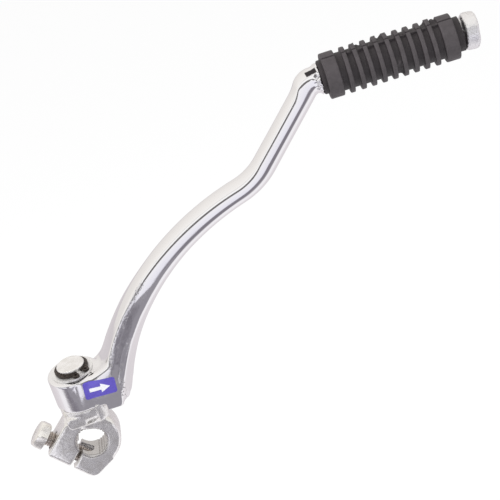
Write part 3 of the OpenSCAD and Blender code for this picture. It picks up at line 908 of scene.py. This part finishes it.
def near_edge(tree, spot, edge, spread):
    """1 along an edge that climbs the front of the arm, 0 from spread millimetres beside it."""
    low, high = edge[0][0], edge[-1][0]
    curve = tree.nodes.new("ShaderNodeFloatCurve")
    points = curve.mapping.curves[0].points
    widest = 60.0
    for index, (height, x) in enumerate(edge):
        place = ((height - low) / (high - low), x / widest)
        if 0 < index < len(edge) - 1:
            points.new(*place)
        else:
            points[0 if index == 0 else -1].location = place
    curve.mapping.update()
    height = axis_value(tree, spot, "Z")
    tree.links.new(map_range(tree, height, low, high, smooth=False), curve.inputs["Value"])
    aside = maths(tree, "SUBTRACT", axis_value(tree, spot, "X"),
                  maths(tree, "MULTIPLY", curve.outputs[0], widest))
    close = map_range(tree, maths(tree, "ABSOLUTE", aside, 0.0), spread, spread * 0.4)
    ends = maths(tree, "MULTIPLY", map_range(tree, height, low - 2, low),
                 map_range(tree, height, high, high - 6))
    return maths(tree, "MULTIPLY", close, ends)


def painted_dark_reflection(tree, spot):
    """1 on the short patch of painted dark reflection on the shoulder, in front of the rubber."""
    inside = None
    for way, low, high in DARK_REFLECTION_PATCH:
        wavy = maths(tree, "ADD", vector_maths(tree, "DOT_PRODUCT", spot, way),
                     maths(tree, "MULTIPLY", noise_node(tree, spot, 0.9, 2.0), 0.6))
        step = maths(tree, "MULTIPLY", map_range(tree, wavy, low - 0.2, low + 0.2),
                     map_range(tree, wavy, high + 0.2, high - 0.2))
        inside = step if inside is None else maths(tree, "MULTIPLY", inside, step)
    return inside


def pinholes(tree, spot, edges):
    """1 in each pinhole: small cells of a Voronoi texture along the edges, and the lone ones."""
    dots = tree.nodes.new("ShaderNodeTexVoronoi")
    dots.inputs["Scale"].default_value = 0.75
    tree.links.new(spot, dots.inputs["Vector"])
    pit = map_range(tree, dots.outputs["Distance"], 0.42, 0.20)
    some = map_range(tree, noise_node(tree, spot, 0.5, 1.0), 0.40, 0.55)
    pits = maths(tree, "MULTIPLY", maths(tree, "MULTIPLY", pit, some), edges)
    for place in LONE_PITS:
        far = vector_maths(tree, "DISTANCE", spot, place)
        pits = maths(tree, "MAXIMUM", pits, map_range(tree, far, 0.75, 0.35))
    return pits


def chrome_finish():
    """A mirror with peel at the root, pinholes, a painted dark reflection and a hammered end."""
    mat, tree, shader, spot = material("hard_chrome", CHROME, 1.0, 0.07)
    root = map_range(tree, axis_value(tree, spot, "Z"), 78, 40)
    left_edge = near_edge(tree, spot, LEFT_EDGE, LEFT_SPREAD)
    edges = maths(tree, "MAXIMUM", left_edge, near_edge(tree, spot, RIGHT_EDGE, RIGHT_SPREAD))
    peel = noise_node(tree, spot, 1.1, 3.0, 0.6)
    haze = noise_node(tree, spot, 0.25, 2.0)
    upset = map_range(tree, axis_value(tree, spot, "X"), KNOB_X - 1, KNOB_X)
    rough = map_range(tree, haze, 0.35, 0.7, 0.05, 0.12)
    rough = maths(tree, "ADD", rough, maths(tree, "MULTIPLY", root, 0.05))
    rough = maths(tree, "ADD", rough, maths(tree, "MULTIPLY", upset, 0.22))
    # Painted dark reflection: the patch of the shoulder is made black and rougher
    black = painted_dark_reflection(tree, spot)
    rough = maths(tree, "ADD", rough, maths(tree, "MULTIPLY", black, 0.35))
    tree.links.new(rough, shader.inputs["Roughness"])
    # the relief: grain along the edges, peel at the root, dents at the end, less the pinholes
    pits = pinholes(tree, spot, edges)
    grain = maths(tree, "MULTIPLY", maths(tree, "MULTIPLY", peel, edges), 1.6)
    soft = maths(tree, "ADD", maths(tree, "MULTIPLY", root, 0.45), 0.05)
    wave = maths(tree, "MULTIPLY", peel, soft)
    dents = maths(tree, "MULTIPLY", maths(tree, "MULTIPLY", peel, upset), 5.0)
    wave = maths(tree, "ADD", maths(tree, "ADD", wave, grain), dents)
    surface = maths(tree, "SUBTRACT", wave, maths(tree, "MULTIPLY", pits, 2.6))
    bump(tree, shader, surface, 0.07)
    tint = mix_colours(tree, pits, CHROME, PIT_TONE)
    tint = mix_colours(tree, maths(tree, "MULTIPLY", left_edge, EDGE_SHARE), tint, EDGE_TONE)
    tint = mix_colours(tree, black, tint, DARK_REFLECTION_TONE)
    tree.links.new(tint, shader.inputs["Base Color"])
    return mat


# %% [markdown]
# Zinc over a forged skin is satin, warm grey and full of fine grain. The grain is a quick noise in
# the bump, and a slow one makes patches that are a little brighter or yellower. The turned post
# and the collar's top are smoother, so the grain fades with height. The bore's wall is painted
# darker, a painted shade, and the bolt's thread is browner than its head.

# %% Zinc and steel
# The bore's darker tone is painted shade
BORE_SHADE_TONE, BORE_SHADE_SHARE = (0.50, 0.48, 0.47), 0.75
THREAD_TONE = (0.58, 0.53, 0.49)


def in_thread(tree, spot):
    """1 on the bolt's shank, 0 on its head."""
    way = (BOLT_PLACE.to_3x3() @ Vector((0, 0, 1))).normalized()
    under_head = (BOLT_PLACE.translation / MM).dot(way) + HEAD_FROM + HEAD_H
    along_bolt = vector_maths(tree, "DOT_PRODUCT", spot, way)
    return map_range(tree, along_bolt, under_head - 0.3, under_head + 0.2)


def in_bore(tree, spot):
    """1 on the wall of the clamp's bore, 0 outside it."""
    flat = maths(tree, "ADD", maths(tree, "POWER", axis_value(tree, spot, "X"), 2.0),
                 maths(tree, "POWER", axis_value(tree, spot, "Z"), 2.0))
    return map_range(tree, maths(tree, "SQRT", flat, 0.0), 8.9, 8.5)


def zinc_finish(name, colour, dark, grain_mm, rough, brown_thread=False):
    """Satin zinc with grain, patches and specks, for the bolt or for the clamp."""
    mat, tree, shader, spot = material(name, colour, 0.88, rough)
    grain = noise_node(tree, spot, 0.95, 2.0, 0.55)
    patch = noise_node(tree, spot, 0.28, 3.0, 0.6)
    speck = map_range(tree, noise_node(tree, spot, 0.9, 3.0, 0.7), 0.56, 0.66)
    tone = mix_colours(tree, map_range(tree, patch, 0.35, 0.68), colour, dark)
    tone = mix_colours(tree, maths(tree, "MULTIPLY", speck, 0.12), tone,
                       tuple(c * 0.62 for c in dark))
    if brown_thread:
        tone = mix_colours(tree, in_thread(tree, spot), tone, THREAD_TONE)
    else:
        # Painted shade: the bore's wall is coloured darker
        bore_shade = maths(tree, "MULTIPLY", in_bore(tree, spot), BORE_SHADE_SHARE)
        tone = mix_colours(tree, bore_shade, tone, BORE_SHADE_TONE)
    tree.links.new(tone, shader.inputs["Base Color"])
    tree.links.new(map_range(tree, grain, 0.3, 0.7, rough - 0.07, rough + 0.12),
                   shader.inputs["Roughness"])
    smooth_post = map_range(tree, axis_value(tree, spot, "Z"), 36, 41, 1.0, 0.25)
    bump(tree, shader, maths(tree, "MULTIPLY", grain, smooth_post), grain_mm)
    return mat


def turned_steel(name, colour, rough, metallic=1.0):
    """Steel with the rings that a lathe leaves, centred on the post at the eye's top."""
    mat, tree, shader, spot = material(name, colour, metallic, rough)
    wave = tree.nodes.new("ShaderNodeTexWave")
    wave.wave_type = "RINGS"
    wave.rings_direction = "Z"
    wave.inputs["Scale"].default_value = 0.9
    wave.inputs["Distortion"].default_value = 0.4
    from_post = vector_maths(tree, "SUBTRACT", spot, (POST_X, -39 * math.sin(LEAN), 0))
    tree.links.new(from_post, wave.inputs["Vector"])
    bump(tree, shader, wave.outputs["Fac"], 0.02)
    patch = noise_node(tree, spot, 0.5, 3.0)
    tone = mix_colours(tree, patch, colour, tuple(c * 0.8 for c in colour))
    tree.links.new(tone, shader.inputs["Base Color"])
    return mat


def phosphated_steel():
    """The ring's near-black phosphate with brown oil in it."""
    mat, tree, shader, spot = material("phosphated_ring", (0.035, 0.028, 0.024), 0.55, 0.42)
    grain = noise_node(tree, spot, 1.6, 3.0, 0.6)
    tone = mix_colours(tree, map_range(tree, grain, 0.4, 0.7), (0.020, 0.016, 0.014),
                       (0.11, 0.085, 0.07))
    tree.links.new(tone, shader.inputs["Base Color"])
    bump(tree, shader, grain, 0.06)
    return mat


# %% [markdown]
# The rubber is matt and dark, never black. The rims of its ribs are painted paler, a painted
# light, and its grooves darker, a painted shade. Distance from the spindle's axis tells rim from
# groove, so a mask of that distance paints both.

# %% Rubber and label
# Painted shade in the grooves and painted light on the rims of the ribs
GROOVE_SHADE_TONE, RIM_LIGHT_TONE = (0.027, 0.0225, 0.0245), (0.066, 0.058, 0.062)


def rubber_finish():
    """Matt rubber, with painted light on the rims of its ribs and painted shade in its grooves."""
    mat, tree, shader, spot = material("moulded_rubber", (0.047, 0.042, 0.044), 0.0, 0.55)
    turn = tree.nodes.new("ShaderNodeVectorRotate")
    turn.rotation_type = "X_AXIS"
    turn.inputs["Angle"].default_value = -LEAN
    tree.links.new(spot, turn.inputs["Vector"])
    upright = turn.outputs["Vector"]
    across = maths(tree, "POWER", axis_value(tree, upright, "Y"), 2.0)
    above = maths(tree, "SUBTRACT", axis_value(tree, upright, "Z"), PEDAL.y)
    up = maths(tree, "POWER", above, 2.0)
    radius = maths(tree, "SQRT", maths(tree, "ADD", across, up), 0.0)
    # Painted light on the rims and painted shade in the grooves, by distance from the axis
    rim = map_range(tree, radius, CORE_R + 0.6, RIB_R - 0.1)
    cloud = noise_node(tree, spot, 0.35, 3.0, 0.6)
    rim_light = maths(tree, "MULTIPLY", rim, map_range(tree, cloud, 0.3, 0.7, 0.7, 1.0))
    tone = mix_colours(tree, rim_light, GROOVE_SHADE_TONE, RIM_LIGHT_TONE)
    tree.links.new(tone, shader.inputs["Base Color"])
    grain = noise_node(tree, spot, 2.6, 3.0, 0.6)
    tree.links.new(map_range(tree, grain, 0.3, 0.7, 0.46, 0.66), shader.inputs["Roughness"])
    bump(tree, shader, grain, 0.05)
    return mat


def foil_finish(name, colour, fade):
    """Printed foil under a clear coat, its colour a little uneven."""
    mat, tree, shader, spot = material(name, colour, 0.0, 0.28)
    shader.inputs["Coat Weight"].default_value = 0.4
    shader.inputs["Coat Roughness"].default_value = 0.12
    print_noise = noise_node(tree, spot, 0.6, 2.0)
    tone = mix_colours(tree, print_noise, colour, fade)
    tree.links.new(tone, shader.inputs["Base Color"])
    bump(tree, shader, noise_node(tree, spot, 0.35, 1.0), 0.03)
    return mat


# %% [markdown]
# Each new piece takes one finish. The ring, the washer, the ball and the spring stay as they came
# from the CAD model, so their shape isn't touched, and only the material in their slots is swapped.

# %% Put the finishes on
def dress(piece, mat):
    """Gives the piece one material."""
    piece.data.materials.clear()
    piece.data.materials.append(mat)


dress(arm, chrome_finish())
dress(clamp, zinc_finish("zinc_over_forging", (0.96, 0.95, 0.94), (0.86, 0.845, 0.82),
                         grain_mm=0.012, rough=0.20))
dress(bolt, zinc_finish("zinc_bolt", (0.97, 0.955, 0.92), (0.88, 0.855, 0.80),
                        grain_mm=0.006, rough=0.26, brown_thread=True))
dress(rubber, rubber_finish())
dress(label, foil_finish("label_blue", (0.085, 0.062, 0.42), (0.12, 0.09, 0.50)))
label_white = foil_finish("label_white", (0.82, 0.82, 0.86), (0.78, 0.78, 0.84))
for piece in arrow:
    dress(piece, label_white)
ring_steel = phosphated_steel()
bright_steel = turned_steel("turned_washer", (0.94, 0.93, 0.92), 0.26, 0.75)
ball_steel = turned_steel("polished_ball", (0.62, 0.62, 0.64), 0.12)
wire_steel = turned_steel("spring_wire", (0.42, 0.42, 0.44), 0.3)
for node, mat in (("circlip", ring_steel), ("thrust_washer", bright_steel),
                  ("detent_ball", ball_steel), ("detent_spring", wire_steel)):
    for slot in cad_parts[node].material_slots:
        slot.material = mat
    print(node, "is finished in", mat.name)

# %% [markdown]
# Chrome has no look of its own: it shows the room. A product shot gives it a white tent with dark
# gaps, and the bands along the arm are those gaps. Here the world holds that room for reflections
# only. The direction of a ray, as an angle round the X axis from the front over the top, runs
# through a colour ramp: dark low in front, a thin dark line above the camera, pale elsewhere.
# Two dark cards stand close in front of the root. Because they are near, the root reflects them
# and the upper arm looks over their edges, which is why the dark front ends halfway up the lever.
# The wide one greys the front. The narrow one is a little nearer and draws a darker band up the
# edge.

# %% The room that the chrome sees
# Direction in degrees (0 is the front, 90 is overhead) and the colour seen there
ROOM = [(-180, (0.64, 0.60, 0.62)), (-110, (0.80, 0.76, 0.79)), (-96, (0.92, 0.90, 0.93)),
        (-70, (0.94, 0.92, 0.95)), (-63, (0.40, 0.38, 0.41)), (-56, (0.21, 0.195, 0.225)),
        (-40.5, (0.23, 0.215, 0.25)), (-37, (0.86, 0.85, 0.93)), (4, (0.95, 0.94, 0.97)),
        (8, (0.13, 0.12, 0.12)), (26, (0.20, 0.19, 0.19)), (29, (1.0, 1.0, 1.0)),
        (50, (1.0, 0.99, 0.98)), (54, (0.55, 0.53, 0.52)), (58, (0.97, 0.95, 0.93)),
        (120, (0.90, 0.87, 0.84)), (180, (0.79, 0.76, 0.74))]


def white_room():
    """A world that shows the room to reflections, plain white to the camera, grey to the rest."""
    world = bpy.data.worlds.new("white_room")
    bpy.context.scene.world = world
    world.use_nodes = True
    tree = world.node_tree
    tree.nodes.clear()
    look = tree.nodes.new("ShaderNodeTexCoord").outputs["Generated"]
    forward = maths(tree, "MULTIPLY", axis_value(tree, look, "Y"), -1.0)
    angle = maths(tree, "ARCTAN2", axis_value(tree, look, "Z"), forward)
    turn = map_range(tree, angle, -math.pi, math.pi, 0, 1, smooth=False)
    ramp = tree.nodes.new("ShaderNodeValToRGB")
    tree.links.new(turn, ramp.inputs[0])
    for index, (degrees, colour) in enumerate(ROOM):
        position = (degrees + 180) / 360
        stops = ramp.color_ramp.elements
        stop = stops[index] if index < 2 else stops.new(position)
        stop.position = position
        stop.color = (*colour, 1)
    rays = tree.nodes.new("ShaderNodeLightPath")
    room = tree.nodes.new("ShaderNodeBackground")
    tree.links.new(ramp.outputs["Color"], room.inputs["Color"])
    plain = tree.nodes.new("ShaderNodeBackground")
    plain.inputs["Color"].default_value = (1, 1, 1, 1)
    level = map_range(tree, rays.outputs["Is Camera Ray"], 0, 1, 0.5, 1.0, smooth=False)
    tree.links.new(level, plain.inputs["Strength"])
    mix = tree.nodes.new("ShaderNodeMixShader")
    tree.links.new(rays.outputs["Is Glossy Ray"], mix.inputs[0])
    tree.links.new(plain.outputs[0], mix.inputs[1])
    tree.links.new(room.outputs[0], mix.inputs[2])
    output = tree.nodes.new("ShaderNodeOutputWorld")
    tree.links.new(mix.outputs[0], output.inputs["Surface"])


white_room()
print("the room has", len(ROOM), "colour stops")


# %% Dark cards
def dark_card(name, corners, y, tone):
    """An upright card that only reflections see: its corners in x and z, and y in front."""
    points = [(x * MM, y * MM, z * MM) for x, z in corners]
    card = new_piece(name, points, [tuple(range(len(points)))], smooth=False)
    mat = bpy.data.materials.new(name)
    mat.use_nodes = True
    tree = mat.node_tree
    tree.nodes.clear()
    glow = tree.nodes.new("ShaderNodeEmission")
    glow.inputs["Color"].default_value = (*tone, 1)
    output = tree.nodes.new("ShaderNodeOutputMaterial")
    tree.links.new(glow.outputs[0], output.inputs["Surface"])
    card.data.materials.append(mat)
    card.visible_camera = False
    card.visible_diffuse = False
    card.visible_shadow = False
    card.visible_transmission = False


# The notch in the front card is the pale corner above and left of the label
dark_card("front_card", [(-25, -75), (78, -75), (78, 42), (15.5, 42), (15.5, 7), (15, 0.4),
                         (17.6, -3), (-2.2, -13), (-4.5, -1.1), (-6, 10), (-6, 42), (-25, 42)],
          -60, (0.30, 0.287, 0.32))
dark_card("edge_card", [(16, 4), (19.5, 4), (23, 11.5), (29, 19.5), (34, 24.5), (44, 34),
                        (40, 34), (28.5, 23.8), (25.4, 21.2), (19.5, 13), (16.3, 7.5)],
          -59.5, (0.16, 0.15, 0.175))

# %% [markdown]
# Two large lamps light what isn't chrome: a key high on the left and a broad fill from the front.
# The floor is far below the held lever and only catches its shadow.

# %% Lamps and floor
LAMP_TARGET = Vector((0.08, 0, 0.06))
FLOOR_Z, FLOOR_HALF = -0.16, 3


def softbox(name, place, size, watts):
    """A rectangular lamp turned to the lever, unseen by the camera and by the chrome."""
    data = bpy.data.lights.new(name, "AREA")
    data.shape = "RECTANGLE"
    data.size, data.size_y = size
    data.energy = watts
    lamp = in_scene(name, data)
    lamp.location = place
    lamp.rotation_euler = (LAMP_TARGET - Vector(place)).to_track_quat("-Z", "Y").to_euler()
    lamp.visible_camera = False
    lamp.visible_glossy = False


def pale_floor():
    """A sheet of white paper that glows a little for the camera, so that it reads as white."""
    points = [(x * FLOOR_HALF, y * FLOOR_HALF, FLOOR_Z)
              for x, y in ((-1, -1), (1, -1), (1, 1), (-1, 1))]
    floor = new_piece("floor", points, [(0, 1, 2, 3)], smooth=False)
    mat = bpy.data.materials.new("white_paper")
    mat.use_nodes = True
    tree = mat.node_tree
    shader = tree.nodes["Principled BSDF"]
    shader.inputs["Base Color"].default_value = (0.9, 0.9, 0.9, 1)
    shader.inputs["Roughness"].default_value = 0.9
    shader.inputs["Specular IOR Level"].default_value = 0.1
    rays = tree.nodes.new("ShaderNodeLightPath")
    glow = tree.nodes.new("ShaderNodeEmission")
    glow.inputs["Strength"].default_value = 1.1
    mix = tree.nodes.new("ShaderNodeMixShader")
    tree.links.new(maths(tree, "MULTIPLY", rays.outputs["Is Camera Ray"], 0.8), mix.inputs[0])
    tree.links.new(shader.outputs[0], mix.inputs[1])
    tree.links.new(glow.outputs[0], mix.inputs[2])
    tree.links.new(mix.outputs[0], tree.nodes["Material Output"].inputs["Surface"])
    dress(floor, mat)
    floor.visible_glossy = False


softbox("key_lamp", (-0.45, -0.35, 0.75), (0.5, 0.5), watts=7.0)
softbox("fill_lamp", (0.5, -0.9, 0.35), (0.7, 0.5), watts=4.0)
pale_floor()
print("floor %.2f m under the bore" % -FLOOR_Z)

# %% [markdown]
# The camera looks down on the upright lever from 30 degrees and is rolled, so that the pedal points
# up to the right. Its place follows from one fact: the bore's centre lies at a known spot of the
# picture, and the lever is 0.9 m away.

# %% Camera
ABOVE = math.radians(30)
ROLL = math.radians(17.6)
DISTANCE = 0.9
FOCAL_PX = 1800.0
PICTURE_PX = 500.0
BORE_PX = (91.4, 434.2)
SENSOR_MM = 36


def studio_camera():
    """The scene's camera, rolled about its own axis and moved until the bore is at BORE_PX."""
    back = Vector((0, -math.cos(ABOVE), math.sin(ABOVE)))
    right = Vector((1, 0, 0))
    up = back.cross(right)
    rolled_right = math.cos(ROLL) * right - math.sin(ROLL) * up
    rolled_up = math.sin(ROLL) * right + math.cos(ROLL) * up
    aside = (BORE_PX[0] - PICTURE_PX / 2) / FOCAL_PX * DISTANCE
    below = (PICTURE_PX / 2 - BORE_PX[1]) / FOCAL_PX * DISTANCE
    place = DISTANCE * back - aside * rolled_right - below * rolled_up
    pose = Matrix((rolled_right, rolled_up, back)).transposed().to_4x4()
    pose.translation = place
    data = bpy.data.cameras.new("studio_camera")
    data.sensor_width = SENSOR_MM
    data.lens = SENSOR_MM * FOCAL_PX / PICTURE_PX
    camera = in_scene("studio_camera", data)
    camera.matrix_world = Matrix.Rotation(LEAN, 4, "X") @ pose
    bpy.context.scene.camera = camera
    print("camera at", [round(value, 3) for value in camera.matrix_world.translation])


studio_camera()
bpy.context.scene.view_settings.view_transform = "Standard"
